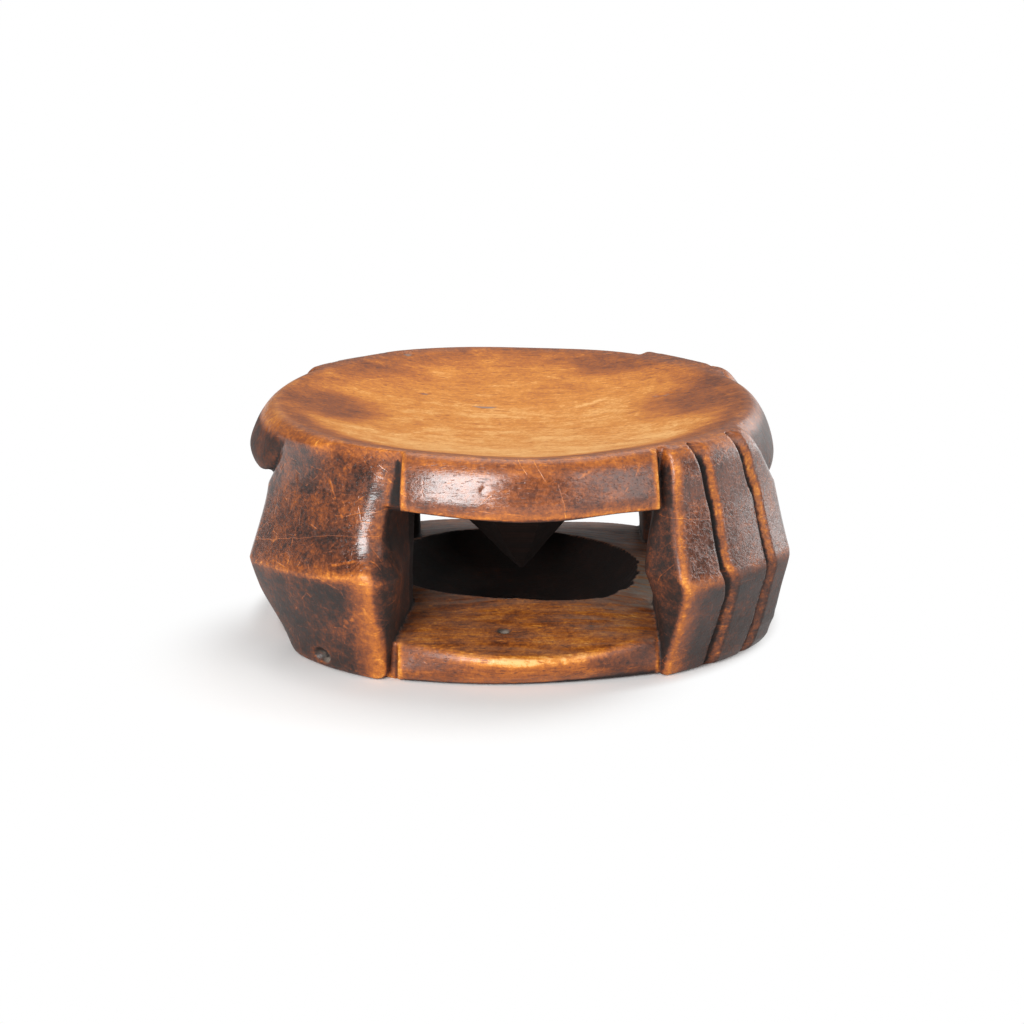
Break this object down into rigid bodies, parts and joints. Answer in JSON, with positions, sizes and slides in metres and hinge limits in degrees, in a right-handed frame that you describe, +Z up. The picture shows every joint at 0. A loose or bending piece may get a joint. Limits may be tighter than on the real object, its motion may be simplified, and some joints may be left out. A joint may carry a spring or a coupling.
{
  "type": "carved wooden stool",
  "caption": "Low round carved stool: dished seat with a bulging apron, bent corner legs, pierced ring base and a faceted pendant under the seat.",
  "frame": {"origin": "on the floor, on the axis of the round seat", "axes": "+Z up through the seat, -Y out of the front window between the two front legs, +X to the right"},
  "size_m": [0.3197, 0.3188, 0.136],
  "materials": {
    "seat_wood": "satin",
    "leg_wood": "gloss",
    "base_wood": "satin",
    "pendant_wood": "matte"
  },
  "bodies": {
    "root": {"seat": "seat_wood", "base": "base_wood", "pendant": "pendant_wood", "leg_front_left": "leg_wood", "leg_front_right": "leg_wood", "leg_back_left": "leg_wood", "leg_back_right": "leg_wood"}
  },
  "joints": []
}
